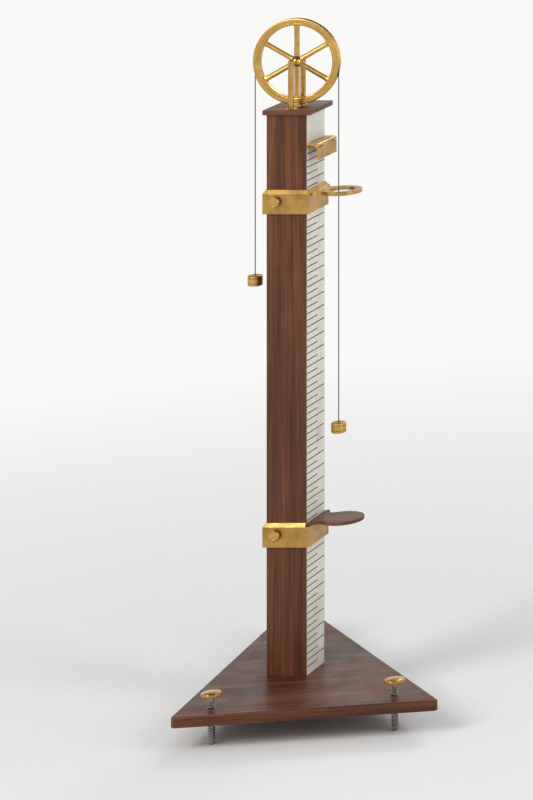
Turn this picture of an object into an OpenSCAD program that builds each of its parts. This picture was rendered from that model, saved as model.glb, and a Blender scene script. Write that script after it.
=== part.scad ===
// Demonstration pulley on a graduated column. Two equal weights hang from one cord over
// a light grooved wheel. A hinged shelf lets the right weight go, a ring and a catch
// platform slide on the column, and three screws level the triangular base board.
// Fronts face -Y, the platforms reach towards +X, and lengths are millimetres.

/* [Base board] */
// Width of the triangle's front edge between its sharp corners
base_w = 370; // [340:1:420]
// Depth of the triangle from its front edge to its rear corner
base_depth = 558; // [440:1:600]
// How far the rear corner lies to the left of the front edge's middle
base_lean = 110; // [0:1:130]
// Thickness of the board
base_t = 16; // [12:0.5:24]
// Height of the board's underside above the table
base_lift = 38; // [32:1:50]
// Turn of the board about the column, seen from above
base_turn = 12.5; // [0:0.5:20]
// How far the front edge's middle lies beside the column, towards the platforms
base_reach = 48; // [20:1:60]
// How far the board's middle lies in front of the column
base_ahead = 11; // [0:1:30]
// Length taken off each edge where a corner is cut flat
corner_cut = 5; // [3:0.5:16]
// Width of the bevel along the board's top edge
base_bevel = 1.5; // [0.5:0.1:3]

/* [Levelling screws] */
// Diameter of the screws
level_d = 10.5; // [8:0.5:12]
// Diameter of the flat foot under each screw
level_foot_d = 6; // [4:0.5:8]
// Height of the rounding above the foot
level_foot_h = 3; // [1:0.5:5]
// Diameter of the round heads
level_head_d = 29; // [24:1:36]
// Thickness of a head at its rim
level_head_t = 5.5; // [4:0.5:8]
// Rise of a head's middle above its rim
level_head_crown = 1.5; // [0.5:0.1:3]
// Clear height under a head, above the board
level_head_lift = 17; // [13:1:25]
// Diameter of the peg that carries a head
level_peg_d = 6; // [4:0.5:7]
// Distance of the left screw from the left corner, along the front edge
left_level_in = 50; // [45:1:80]
// Distance of the left screw behind the front edge
left_level_back = 35; // [25:1:45]
// Distance of the right screw from the right corner, along the front edge
right_level_in = 68; // [50:1:90]
// Distance of the right screw behind the front edge
right_level_back = 42; // [25:1:45]
// Distance of the rear screw from the rear corner, towards the front edge's middle
level_rear_in = 80; // [70:1:110]
// Outer diameter of the threaded bushes
level_bush_d = 16; // [14:0.5:20]

/* [Column] */
// Width of the column, seen from the front
column_w = 60; // [50:1:70]
// Depth of the column
column_d = 66; // [56:1:76]
// Height of the column above the board
column_h = 842; // [800:1:900]
// Width of the tenon let into the board
tenon_w = 44; // [30:1:46]
// Depth of the tenon, front to back
tenon_d = 48; // [30:1:50]
// Height of the tenon
tenon_h = 8; // [6:0.5:10]
// Diameter of the two screws that hold the column down
foot_screw_d = 5; // [4:0.5:6]
// Diameter of their countersunk heads
foot_screw_head_d = 10; // [8:0.5:12]
// Height of the countersunk heads
foot_screw_head_h = 3; // [2:0.5:4]
// Length of the screws
foot_screw_l = 46; // [35:1:60]
// Distance between the two screws
foot_screw_gap = 24; // [16:1:30]

/* [Scale] */
// Thickness of the white scale strip
strip_t = 1.5; // [1:0.1:3]
// Width of the wooden lip that is left in front of and behind the strip
strip_lip = 1; // [0.5:0.1:3]
// Distance between one mark and the next
mark_pitch = 10; // [8:1:20]
// Height of a mark's line
mark_t = 1.5; // [0.6:0.1:1.8]
// Depth to which the marks are let in
mark_depth = 0.4; // [0.2:0.1:0.8]
// Length of a short mark
mark_short = 38; // [20:1:44]
// Clear end left beyond a long mark
mark_end = 1; // [0.5:0.5:4]
// Distance of the first mark below the drop shelf
mark_drop = 3; // [2:0.5:8]
// Least height of the last mark above the board
mark_foot = 6; // [4:1:12]

/* [Cap and fork] */
// How far the cap board stands out past the column, at its front and its two sides
cap_over = 6; // [3:0.5:12]
// How far the cap board stands out behind the column
cap_behind = 12; // [3:0.5:16]
// Thickness of the cap board
cap_t = 7.5; // [6:0.5:12]
// Diameter of the fork's round uprights
fork_d = 8; // [7.5:0.5:10]
// Height of the uprights above the axle
fork_over = 5.5; // [5:0.1:8]
// How far the cap, the fork and its wheel stand beside the column's middle, towards the platforms
wheel_side = 2; // [0:0.5:4]
// Distance between the middles of the two uprights
fork_gap = 44; // [38:1:50]
// Width of the foot plate that joins the uprights
fork_foot_w = 16; // [12:1:24]
// How far the foot plate runs on past each upright
fork_foot_over = 3; // [1:0.5:5]
// Thickness of the foot plate, let in flush with the cap
fork_foot_t = 3; // [2:0.5:4]
// Diameter of the peg under each upright
fork_peg_d = 3.5; // [2.5:0.5:4.5]
// Diameter of the foot plate's two screws
fork_screw_d = 3.5; // [2.5:0.5:4.5]
// Diameter of their countersunk heads
fork_screw_head_d = 7; // [5.5:0.5:9]
// Height of the countersunk heads
fork_screw_head_h = 1.8; // [1.2:0.1:2]
// Length of these screws
fork_screw_l = 22; // [14:1:30]
// Distance between the two screws
fork_screw_gap = 22; // [16:1:26]

/* [Wheel] */
// Outer radius of the wheel
wheel_r = 65; // [55:0.5:75]
// Radial height of the rim
rim_h = 10.5; // [8:0.5:14]
// Width of the rim across the groove
rim_w = 9; // [7:0.5:12]
// Depth of the cord groove
groove_depth = 3; // [2.5:0.1:4]
// Width of the groove at the rim's edge
groove_w = 5.4; // [4:0.1:6]
// Width of the groove at its bottom
groove_floor_w = 2; // [1.9:0.1:3]
// Bevel on the rim's corners
rim_bevel = 1; // [0.4:0.1:2]
// Clear height between the wheel and the cap board
rim_clear = 2; // [1.5:0.5:5]
// Number of spokes
spoke_count = 6; // [4:1:8]
// Width of a spoke, seen from the front
spoke_w = 8; // [5:0.5:8]
// Thickness of a spoke at its ridge
spoke_t = 5; // [4:0.5:7]
// Thickness of a spoke at its edges
spoke_edge = 1.4; // [0.8:0.1:3]
// Diameter of the pegs that seat a spoke in the rim and the hub
spoke_peg_d = 3; // [2:0.5:3.5]
// Length of these pegs
spoke_peg_l = 3; // [2:0.5:4]
// Diameter of the ball-shaped hub
hub_d = 16.5; // [15:0.5:22]
// Diameter of the axle
axle_d = 3.5; // [3:0.5:4]
// How far the axle stands out past the uprights
axle_over = 2; // [1:0.5:4]
// Outer diameter of the bearing bushes
bush_d = 5.5; // [5:0.5:6]
// Diameter of the collars that keep the wheel in the middle
keeper_d = 8; // [7:0.5:12]
// Width of these collars
keeper_w = 4; // [3:0.5:6]

/* [Cord and weights] */
// Diameter of the cord
cord_d = 1.5; // [1.2:0.1:1.8]
// Diameter of each weight
weight_d = 21.5; // [16:0.5:24]
// Height of each weight
weight_h = 15.5; // [10:0.5:18]
// Bevel round a weight's edges
weight_bevel = 1; // [0.5:0.1:2]
// Depth of the left weight's underside below the axle
left_weight_drop = 338; // [300:0.5:400]
// Depth of the right weight's underside below the axle
right_weight_drop = 559.5; // [500:0.5:580]
// Diameter of the knot under each weight
knot_d = 3.8; // [3:0.1:4.4]
// Height of the knot
knot_h = 3.2; // [2.4:0.1:4]

/* [Drop shelf] */
// Depth of the shelf's top below the column's top
shelf_down = 43.5; // [30:0.5:80]
// How far the shelf reaches out from the column when the leaf hangs
shelf_reach = 18.75; // [16:0.25:21]
// Thickness of the shelf plate and of its leaf
shelf_t = 3; // [2:0.25:4]
// Diameter of the hinge knuckles
knuckle_d = 6; // [5:0.25:7]
// Diameter of the hinge pin
hinge_pin_d = 2.2; // [1.6:0.1:3]
// Height of the shelf from its top to the lower edge of the hanging leaf
leaf_drop = 24.5; // [22:0.5:27]
// Width of the nick that lets the cord past the raised leaf
nick_w = 3.5; // [3:0.5:5]
// Width of the tongue let into the column
tongue_w = 46; // [30:1:52]
// Length of the tongue
tongue_l = 14; // [8:1:20]

/* [Sliding collars] */
// Wall thickness of the collars
collar_wall = 4.2; // [3:0.1:6]
// Height of a collar
collar_h = 36; // [30:1:45]
// Height of the bevel round a collar's top
collar_bevel_h = 5.5; // [3:0.5:8]
// Flat left at the top of the bevel
collar_land = 0.6; // [0.3:0.1:1.5]
// Depth of the upper collar's underside below the column's top
upper_collar_down = 148.5; // [142:0.5:200]
// Height of the lower collar's underside above the board, as a share of the column's height
lower_collar_share = 0.23; // [0.23:0.005:0.26]

/* [Platforms] */
// Thickness of the two platforms
plate_t = 5.25; // [3:0.25:6]
// Outer radius of the ring
ring_r = 28.5; // [25:0.5:32]
// Radius of the catch disc
catch_r = 31.5; // [25:0.5:32]
// Radius of the hole in the ring
ring_hole_r = 18.6; // [15:0.1:20]
// Distance of the disc's middle from the column's middle
disc_out = 70; // [66:0.5:71]
// Straight part of a platform's arm, beside the collar
arm_land = 2.5; // [1:0.5:5]
// Direction from the end of that straight part to the middle of the neck's curve
neck_angle = -35; // [-45:1:10]
// Depth of the slot that seats the ring's arm in its collar
arm_seat = 3; // [2:0.1:3.5]
// Width of that seat
arm_seat_w = 60; // [40:1:64]

/* [Thumbscrews] */
// Diameter of a thumbscrew's head
thumb_d = 16.5; // [13:0.5:20]
// Thickness of the head
thumb_t = 6; // [4:0.5:9]
// Diameter of the threaded shank
thumb_shank_d = 5; // [4:0.5:6]
// Diameter of the shoulder under the head
thumb_neck_d = 9; // [7:0.5:12]
// Length of the shoulder
thumb_neck_l = 1.5; // [1:0.5:4]
// Rounding of the head's edges
thumb_round = 1.2; // [0.5:0.1:2]
// Distance of the thumbscrew to the left of the collar's middle
thumb_left = 15; // [8:0.5:22]
// Height of the thumbscrew above the collar's underside
thumb_lift = 19; // [14:0.5:22]

/* [Hidden] */
// Clear space round a shaft that turns or slides in its bore
running_gap = 0.05;
// Clear space between pieces that are fixed together
seat_gap = 0.05;
// Clear space between a collar and the column
sliding_gap = 0.3;
// Clear space between a hinge knuckle and its neighbours
hinge_gap = 0.3;
// Clear space between the cord and the bottom of the groove
cord_gap = 0.2;
// Clear space round the cord in a weight's hole
cord_room = 0.45;
// Clear space between a thumbscrew's tip and the column
tip_gap = 0.1;
// Length by which a cut runs past the face it opens
over = 1;
// How far the circles that cut a platform's neck bite into its disc, so that they cross it cleanly
neck_bite = 0.04;
// Number of sides of the cord
cord_sides = 8;
// Number of steps of the cord over the wheel
cord_steps = 52;

board_top = base_lift + base_t;
column_top = board_top + column_h;
cap_top = column_top + cap_t;
axle_z = cap_top + rim_clear + wheel_r;

// Sharp corners of the board seen from the column's middle: front left, front right, rear
base_corners = [
    [base_reach - base_w / 2, -base_ahead - base_depth / 3],
    [base_reach + base_w / 2, -base_ahead - base_depth / 3],
    [base_reach - base_lean, -base_ahead + base_depth * 2 / 3],
];
front_middle = (base_corners[0] + base_corners[1]) / 2;
base_outline = cut_corners(base_corners, corner_cut);
base_spread = [for (p = base_outline) turned(p, base_turn)];
// Middle of the whole part, seen from above
middle = [
    (min([for (p = base_spread) p.x]) + max([for (p = base_spread) p.x])) / 2,
    (min([for (p = base_spread) p.y]) + max([for (p = base_spread) p.y])) / 2,
];
level_places = [
    base_corners[0] + [left_level_in, left_level_back],
    base_corners[1] + [-right_level_in, right_level_back],
    base_corners[2] + level_rear_in * (front_middle - base_corners[2]) / norm(front_middle - base_corners[2]),
];
level_top = board_top + level_head_lift;

shelf_top = column_top - shelf_down;
knuckle_r = knuckle_d / 2;
hinge_x = column_w / 2 + shelf_reach - knuckle_r;
hinge_z = shelf_top - knuckle_r;
mark_top = shelf_top - shelf_t - mark_drop;
mark_count = floor((mark_top - board_top - mark_foot) / mark_pitch) + 1;
mark_long = column_d - 2 * strip_lip - 2 * mark_end;

groove_r = wheel_r - groove_depth;
rim_inner_r = wheel_r - rim_h;
cord_r = groove_r + cord_gap + cord_d / 2;
left_weight_z = axle_z - left_weight_drop;
right_weight_z = axle_z - right_weight_drop;
cord_hole_r = cord_d / 2 + cord_room;
knot_seat_r = knot_d / 2 + cord_room;
knot_seat_h = knot_h + cord_room;
fork_foot_l = fork_gap + fork_d + 2 * fork_foot_over;

collar_in = [column_w + 2 * sliding_gap, column_d + 2 * sliding_gap];
collar_out = collar_in + [2 * collar_wall, 2 * collar_wall];
upper_collar_z = column_top - upper_collar_down;
lower_collar_z = board_top + lower_collar_share * column_h;
ring_z = upper_collar_z + collar_h - collar_bevel_h - plate_t;
catch_z = lower_collar_z + collar_h - plate_t;

arm_end = [collar_out.x / 2 + arm_land, collar_out.y / 2];
arm_span = arm_end - [disc_out, 0];
neck_turn = [cos(neck_angle), sin(neck_angle)];

$fn = 64;

function turned(p, a) = [p.x * cos(a) - p.y * sin(a), p.x * sin(a) + p.y * cos(a)];

// Two points for each corner, at the given distance along its two edges
function cut_corners(points, cut) = [
    for (i = [0 : len(points) - 1])
        for (step = [len(points) - 1, 1])
            let (next = points[(i + step) % len(points)])
                points[i] + cut * (next - points[i]) / norm(next - points[i])
];

// Faces of a tube given as rings of points, closed at both ends
function tube_faces(rings, sides) = concat(
    [for (k = [1 : sides - 2]) [0, k, k + 1]],
    [for (i = [0 : rings - 2], k = [0 : sides - 1])
        let (a = i * sides + k, b = i * sides + (k + 1) % sides)
            each [[a, a + sides, b], [b, a + sides, b + sides]]],
    [for (k = [1 : sides - 2]) [for (n = [0, k + 1, k]) (rings - 1) * sides + n]]
);

module placed() {
    translate([-middle.x, -middle.y, 0])
        children();
}

module along_y(length) {
    rotate([90, 0, 0])
        translate([0, 0, -length / 2])
            children();
}

module block(size) {
    translate([-size.x / 2, -size.y / 2, 0])
        cube(size);
}

// A screw with a countersunk head whose flat top lies at zero, pointing down
module countersunk(d, head_d, head_h, length, gap = 0) {
    translate([0, 0, -head_h])
        cylinder(d1 = d + 2 * gap, d2 = head_d + 2 * gap, h = head_h);
    translate([0, 0, -length - gap])
        cylinder(d = d + 2 * gap, h = length + gap - head_h / 2);
}

module foot_screw_set(gap = 0) {
    for (side = [-1, 1])
        translate([side * foot_screw_gap / 2, 0, base_lift])
            rotate([180, 0, 0])
                countersunk(foot_screw_d, foot_screw_head_d, foot_screw_head_h, foot_screw_l, gap);
}

module fork_screw_set(gap = 0) {
    for (side = [-1, 1])
        translate([wheel_side, side * fork_screw_gap / 2, cap_top])
            countersunk(fork_screw_d, fork_screw_head_d, fork_screw_head_h, fork_screw_l, gap);
}

module at_level_places() {
    rotate([0, 0, base_turn])
        for (place = level_places)
            translate(place)
                children();
}

module base_board() {
    color("#5b3420")
        placed()
            difference() {
                rotate([0, 0, base_turn])
                    hull() {
                        translate([0, 0, base_lift])
                            linear_extrude(base_t - base_bevel)
                                polygon(base_outline);
                        translate([0, 0, base_lift])
                            linear_extrude(base_t)
                                offset(delta = -base_bevel)
                                    polygon(base_outline);
                    }
                at_level_places()
                    translate([0, 0, base_lift - over])
                        cylinder(d = level_bush_d + 2 * seat_gap, h = base_t + 2 * over);
                translate([0, 0, board_top - tenon_h - seat_gap])
                    block([tenon_w + 2 * seat_gap, tenon_d + 2 * seat_gap, tenon_h + seat_gap + over]);
                foot_screw_set(seat_gap);
            }
}

module foot_screws() {
    color("#8c8f92")
        placed()
            foot_screw_set();
}

module levelling_bushes() {
    color("#b08d3c")
        placed()
            at_level_places()
                translate([0, 0, base_lift])
                    difference() {
                        cylinder(d = level_bush_d, h = base_t);
                        translate([0, 0, -over])
                            cylinder(d = level_d + 2 * running_gap, h = base_t + 2 * over);
                    }
}

module levelling_screw(place) {
    color("#8f8a80")
        placed()
            rotate([0, 0, base_turn])
                translate(place)
                    rotate_extrude()
                        polygon([
                            [0, 0],
                            [level_foot_d / 2, 0],
                            [level_d / 2, level_foot_h],
                            [level_d / 2, level_top],
                            [level_peg_d / 2, level_top],
                            [level_peg_d / 2, level_top + level_head_t],
                            [0, level_top + level_head_t],
                        ]);
}

module levelling_head(place) {
    head_r = level_head_d / 2;
    bore_r = level_peg_d / 2 + running_gap;
    color("#b08d3c")
        placed()
            rotate([0, 0, base_turn])
                translate([place.x, place.y, level_top + seat_gap])
                    rotate_extrude()
                        polygon([
                            [0, level_head_t],
                            [bore_r, level_head_t],
                            [bore_r, 0],
                            [head_r, 0],
                            [head_r, level_head_t],
                            [head_r * 2 / 3, level_head_t + level_head_crown * 5 / 9],
                            [head_r / 3, level_head_t + level_head_crown * 8 / 9],
                            [0, level_head_t + level_head_crown],
                        ]);
}

module left_levelling_screw() { levelling_screw(level_places[0]); }
module right_levelling_screw() { levelling_screw(level_places[1]); }
module rear_levelling_screw() { levelling_screw(level_places[2]); }
module left_levelling_head() { levelling_head(level_places[0]); }
module right_levelling_head() { levelling_head(level_places[1]); }
module rear_levelling_head() { levelling_head(level_places[2]); }

module tongue_slot() {
    translate([column_w / 2 - tongue_l - seat_gap, -tongue_w / 2 - seat_gap, shelf_top - shelf_t - seat_gap])
        cube([tongue_l + seat_gap + over, tongue_w + 2 * seat_gap, shelf_t + 2 * seat_gap]);
}

module column() {
    color("#6a3d24")
        placed()
            difference() {
                union() {
                    translate([0, 0, board_top])
                        block([column_w, column_d, column_h]);
                    translate([0, 0, board_top - tenon_h])
                        block([tenon_w, tenon_d, tenon_h + over]);
                }
                translate([column_w / 2 - strip_t - seat_gap, strip_lip - column_d / 2 - seat_gap, board_top])
                    translate([0, 0, -seat_gap])
                        cube([
                            strip_t + seat_gap + over,
                            column_d - 2 * strip_lip + 2 * seat_gap,
                            column_h + over,
                        ]);
                tongue_slot();
                foot_screw_set(seat_gap);
                fork_screw_set(seat_gap);
            }
}

module mark(i, grow = 0) {
    length = i % 2 == 0 ? mark_short : mark_long;
    start = strip_lip + mark_end - column_d / 2;
    translate([column_w / 2 - mark_depth - grow, start - grow, mark_top - i * mark_pitch - mark_t / 2 - grow])
        cube([mark_depth + grow + (grow > 0 ? over : 0), length + 2 * grow, mark_t + 2 * grow]);
}

module scale_strip() {
    color("#f2ede0")
        placed()
            difference() {
                translate([column_w / 2 - strip_t, strip_lip - column_d / 2, board_top])
                    cube([strip_t, column_d - 2 * strip_lip, column_h]);
                for (i = [0 : mark_count - 1])
                    mark(i, seat_gap);
                tongue_slot();
            }
}

module scale_marks() {
    color("#1c1b1a")
        placed()
            for (i = [0 : mark_count - 1])
                mark(i);
}

module cap_board() {
    color("#5b3420")
        placed()
            difference() {
                translate([wheel_side, (cap_behind - cap_over) / 2, column_top])
                    block([column_w + 2 * cap_over, column_d + cap_over + cap_behind, cap_t]);
                translate([wheel_side, 0, cap_top - fork_foot_t - seat_gap])
                    block([
                        fork_foot_w + 2 * seat_gap,
                        fork_foot_l + 2 * seat_gap,
                        fork_foot_t + seat_gap + over,
                    ]);
                fork_screw_set(seat_gap);
            }
}

module fork_foot() {
    color("#a8843a")
        placed()
            difference() {
                translate([wheel_side, 0, cap_top - fork_foot_t])
                    block([fork_foot_w, fork_foot_l, fork_foot_t]);
                for (side = [-1, 1])
                    translate([wheel_side, side * fork_gap / 2, cap_top - fork_foot_t - over])
                        cylinder(d = fork_peg_d + 2 * seat_gap, h = fork_foot_t + 2 * over);
                fork_screw_set(seat_gap);
            }
}

module fork_screws() {
    color("#8c8f92")
        placed()
            fork_screw_set();
}

// A round rod with a rounded top and a peg at its foot
module upright(side) {
    rod_r = fork_d / 2;
    rod_top = axle_z + fork_over;
    color("#a8843a")
        placed()
            translate([wheel_side, side * fork_gap / 2, 0])
                difference() {
                    rotate_extrude()
                        polygon([
                            [0, cap_top - fork_foot_t],
                            [fork_peg_d / 2, cap_top - fork_foot_t],
                            [fork_peg_d / 2, cap_top + seat_gap],
                            [rod_r, cap_top + seat_gap],
                            [rod_r, rod_top - rod_r / 2],
                            [rod_r * 4 / 5, rod_top - rod_r / 6],
                            [rod_r / 2, rod_top],
                            [0, rod_top],
                        ]);
                    translate([0, 0, axle_z])
                        along_y(fork_d + 2 * over)
                            cylinder(d = bush_d + 2 * seat_gap, h = fork_d + 2 * over);
                }
}

module front_upright() { upright(-1); }
module rear_upright() { upright(1); }

module bearing_bush(side) {
    color("#c39a4a")
        placed()
            translate([wheel_side, side * fork_gap / 2, axle_z])
                difference() {
                    along_y(fork_d)
                        cylinder(d = bush_d, h = fork_d);
                    along_y(fork_d + 2 * over)
                        cylinder(d = axle_d + 2 * running_gap, h = fork_d + 2 * over);
                }
}

module front_bearing_bush() { bearing_bush(-1); }
module rear_bearing_bush() { bearing_bush(1); }

module axle() {
    axle_l = fork_gap + fork_d + 2 * axle_over;
    color("#b9bcc0")
        placed()
            translate([wheel_side, 0, axle_z])
                along_y(axle_l)
                    cylinder(d = axle_d, h = axle_l);
}

module axle_keepers() {
    color("#a8843a")
        placed()
            for (side = [-1, 1])
                translate([wheel_side, side * ((fork_gap - fork_d - keeper_w) / 2 - hinge_gap), axle_z])
                    difference() {
                        along_y(keeper_w)
                            cylinder(d = keeper_d, h = keeper_w);
                        along_y(keeper_w + 2 * over)
                            cylinder(d = axle_d + 2 * seat_gap, h = keeper_w + 2 * over);
                    }
}

module at_spokes() {
    for (i = [0 : spoke_count - 1])
        translate([wheel_side, 0, axle_z])
            rotate([0, i * 360 / spoke_count, 0])
                children();
}

module wheel_rim() {
    color("#c39a4a")
        placed()
            difference() {
                translate([wheel_side, 0, axle_z])
                    rotate([90, 0, 0])
                        rotate_extrude($fn = 120)
                            difference() {
                                polygon([
                                    [rim_inner_r, rim_bevel - rim_w / 2],
                                    [rim_inner_r + rim_bevel, -rim_w / 2],
                                    [wheel_r - rim_bevel, -rim_w / 2],
                                    [wheel_r, rim_bevel - rim_w / 2],
                                    [wheel_r, rim_w / 2 - rim_bevel],
                                    [wheel_r - rim_bevel, rim_w / 2],
                                    [rim_inner_r + rim_bevel, rim_w / 2],
                                    [rim_inner_r, rim_w / 2 - rim_bevel],
                                ]);
                                polygon([
                                    [groove_r, -groove_floor_w / 2],
                                    [wheel_r, -groove_w / 2],
                                    [wheel_r + over, -groove_w / 2],
                                    [wheel_r + over, groove_w / 2],
                                    [wheel_r, groove_w / 2],
                                    [groove_r, groove_floor_w / 2],
                                ]);
                            }
                at_spokes()
                    translate([0, 0, rim_inner_r - over])
                        cylinder(d = spoke_peg_d + 2 * seat_gap, h = spoke_peg_l + seat_gap + over);
            }
}

// Six-sided section with a ridge along its front and its back
module spoke_section() {
    polygon([
        [-spoke_w / 2, -spoke_edge / 2],
        [0, -spoke_t / 2],
        [spoke_w / 2, -spoke_edge / 2],
        [spoke_w / 2, spoke_edge / 2],
        [0, spoke_t / 2],
        [-spoke_w / 2, spoke_edge / 2],
    ]);
}

module wheel_spokes() {
    peg_start = hub_d / 2 - spoke_peg_l;
    color("#c39a4a")
        placed()
            at_spokes() {
                difference() {
                    intersection() {
                        linear_extrude(rim_inner_r)
                            spoke_section();
                        rotate([90, 0, 0])
                            translate([0, 0, -spoke_t])
                                cylinder(r = rim_inner_r - seat_gap, h = 2 * spoke_t, $fn = 120);
                    }
                    sphere(d = hub_d + 2 * seat_gap);
                }
                translate([0, 0, peg_start])
                    cylinder(d = spoke_peg_d, h = rim_inner_r + spoke_peg_l - peg_start);
            }
}

module wheel_hub() {
    color("#c39a4a")
        placed()
            difference() {
                translate([wheel_side, 0, axle_z])
                    sphere(d = hub_d);
                translate([wheel_side, 0, axle_z])
                    along_y(hub_d + 2 * over)
                        cylinder(d = axle_d + 2 * seat_gap, h = hub_d + 2 * over);
                at_spokes()
                    translate([0, 0, hub_d / 2 - spoke_peg_l - seat_gap])
                        cylinder(d = spoke_peg_d + 2 * seat_gap, h = spoke_peg_l + seat_gap + over);
            }
}

module cord_over_wheel() {
    color("#e8e0cc")
        placed()
            translate([wheel_side, 0, axle_z])
                polyhedron(
                    points = [
                        for (i = [0 : cord_steps], k = [0 : cord_sides - 1])
                            let (
                                turn = 180 * i / cord_steps,
                                side = 360 * k / cord_sides,
                                out = cord_r + cos(side) * cord_d / 2
                            )
                            [out * cos(turn), sin(side) * cord_d / 2, out * sin(turn)]
                    ],
                    faces = tube_faces(cord_steps + 1, cord_sides)
                );
}

// A plumb stretch of cord from the wheel's side down to the knot under a weight
module hanging_cord(side, weight_z) {
    foot = weight_z + knot_seat_h + seat_gap;
    drop = axle_z - foot;
    color("#e8e0cc")
        placed()
            translate([wheel_side + side * cord_r, 0, foot])
                linear_extrude(drop)
                    polygon([
                        for (k = [0 : cord_sides - 1])
                            let (around = 360 * k / cord_sides)
                            [cos(around) * cord_d / 2, sin(around) * cord_d / 2]
                    ]);
}

module left_cord() { hanging_cord(-1, left_weight_z); }
module right_cord() { hanging_cord(1, right_weight_z); }

module weight(side, weight_z) {
    color("#c39a4a")
        placed()
            translate([wheel_side + side * cord_r, 0, weight_z])
                rotate_extrude()
                    polygon([
                        [knot_seat_r, 0],
                        [weight_d / 2 - weight_bevel, 0],
                        [weight_d / 2, weight_bevel],
                        [weight_d / 2, weight_h - weight_bevel],
                        [weight_d / 2 - weight_bevel, weight_h],
                        [cord_hole_r, weight_h],
                        [cord_hole_r, knot_seat_h],
                        [knot_seat_r, knot_seat_h],
                    ]);
}

module left_weight() { weight(-1, left_weight_z); }
module right_weight() { weight(1, right_weight_z); }

module knot(side, weight_z) {
    color("#e8e0cc")
        placed()
            translate([wheel_side + side * cord_r, 0, weight_z + knot_seat_h - knot_h])
                rotate_extrude()
                    polygon([
                        [0, 0],
                        [knot_d / 4, 0],
                        [knot_d / 2, knot_h / 3],
                        [knot_d / 2, knot_h * 2 / 3],
                        [cord_hole_r + seat_gap, knot_h],
                        [0, knot_h],
                    ]);
}

module left_knot() { knot(-1, left_weight_z); }
module right_knot() { knot(1, right_weight_z); }

// The two end knuckles belong to the plate and the middle one to the leaf
module knuckle(from_y, to_y) {
    translate([hinge_x, to_y, hinge_z])
        rotate([90, 0, 0])
            cylinder(d = knuckle_d, h = to_y - from_y);
}

module pin_bore() {
    translate([hinge_x, 0, hinge_z])
        along_y(column_d + 2 * over)
            cylinder(d = hinge_pin_d + 2 * running_gap, h = column_d + 2 * over);
}

module shelf_plate() {
    quarter = column_d / 4;
    plate_x = column_w / 2 + seat_gap;
    plate_end = hinge_x - knuckle_r - hinge_gap;
    color("#9c7a35")
        placed()
            difference() {
                union() {
                    translate([plate_x, -column_d / 2, shelf_top - shelf_t])
                        cube([plate_end - plate_x, column_d, shelf_t]);
                    translate([column_w / 2 - tongue_l, -tongue_w / 2, shelf_top - shelf_t])
                        cube([tongue_l + over, tongue_w, shelf_t]);
                    for (start = [-column_d / 2, column_d / 2 - quarter]) {
                        translate([plate_x, start, shelf_top - shelf_t])
                            cube([hinge_x - plate_x, quarter, shelf_t]);
                        knuckle(start, start + quarter);
                    }
                }
                pin_bore();
            }
}

module shelf_hinge_pin() {
    color("#b9bcc0")
        placed()
            translate([hinge_x, 0, hinge_z])
                along_y(column_d)
                    cylinder(d = hinge_pin_d, h = column_d);
}

module drop_leaf() {
    half = column_d / 2 - 2 * hinge_gap;
    leaf_foot = shelf_top - leaf_drop;
    shoulder = hinge_z - knuckle_r - hinge_gap;
    nick_z = hinge_z - (wheel_side + cord_r - hinge_x);
    color("#9c7a35")
        placed()
            difference() {
                union() {
                    translate([hinge_x + knuckle_r - shelf_t, -column_d / 2, leaf_foot])
                        cube([shelf_t, column_d, shoulder - leaf_foot]);
                    translate([hinge_x + knuckle_r - shelf_t, -half / 2, leaf_foot])
                        cube([shelf_t, half, hinge_z - leaf_foot]);
                    knuckle(-half / 2, half / 2);
                }
                pin_bore();
                translate([hinge_x, 0, nick_z])
                    rotate([0, 90, 0])
                        cylinder(d = nick_w, h = knuckle_r + over);
                translate([hinge_x, -nick_w / 2, leaf_foot - over])
                    cube([knuckle_r + over, nick_w, nick_z - leaf_foot + over]);
            }
}

module thumb_hole() {
    translate([-thumb_left, over - collar_in.y / 2, thumb_lift])
        rotate([90, 0, 0])
            cylinder(d = thumb_shank_d + 2 * running_gap, h = collar_wall + 2 * over);
}

// A square collar with a bevel round its top, standing on zero
module collar_body() {
    land = collar_in + [2 * collar_land, 2 * collar_land];
    difference() {
        hull() {
            block([collar_out.x, collar_out.y, collar_h - collar_bevel_h]);
            block([land.x, land.y, collar_h]);
        }
        translate([0, 0, -over])
            block([collar_in.x, collar_in.y, collar_h + 2 * over]);
        thumb_hole();
    }
}

module upper_collar() {
    color("#b08d3c")
        placed()
            difference() {
                translate([0, 0, upper_collar_z])
                    collar_body();
                translate([
                    collar_out.x / 2 - arm_seat - seat_gap,
                    -arm_seat_w / 2 - seat_gap,
                    ring_z - seat_gap,
                ])
                    cube([arm_seat + seat_gap + over, arm_seat_w + 2 * seat_gap, plate_t + 2 * seat_gap]);
            }
}

module lower_collar() {
    color("#b08d3c")
        placed()
            difference() {
                translate([0, 0, lower_collar_z])
                    collar_body();
                translate([collar_in.x / 2 - over, -collar_out.y / 2 - over, catch_z - seat_gap])
                    cube([collar_wall + 2 * over, collar_out.y + 2 * over, plate_t + seat_gap + over]);
            }
}

// Outline of an arm that narrows to a neck and runs out into a round disc. The neck is cut by two
// circles that touch the disc from outside
module paddle_outline(disc_r) {
    neck_r = (arm_span * arm_span - disc_r * disc_r) / (2 * (disc_r - arm_span * neck_turn));
    neck_middle = arm_end + neck_r * neck_turn;
    neck_meets = [disc_out, 0] + disc_r * (neck_middle - [disc_out, 0]) / (disc_r + neck_r);
    face_x = collar_out.x / 2 + seat_gap;
    translate([disc_out, 0])
        circle(r = disc_r, $fn = 96);
    difference() {
        polygon([
            [face_x, arm_end.y],
            arm_end,
            neck_meets,
            [disc_out, 0],
            [neck_meets.x, -neck_meets.y],
            [arm_end.x, -arm_end.y],
            [face_x, -arm_end.y],
        ]);
        for (side = [-1, 1])
            translate([neck_middle.x, side * neck_middle.y])
                circle(r = neck_r + neck_bite, $fn = 96);
    }
}

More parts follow.
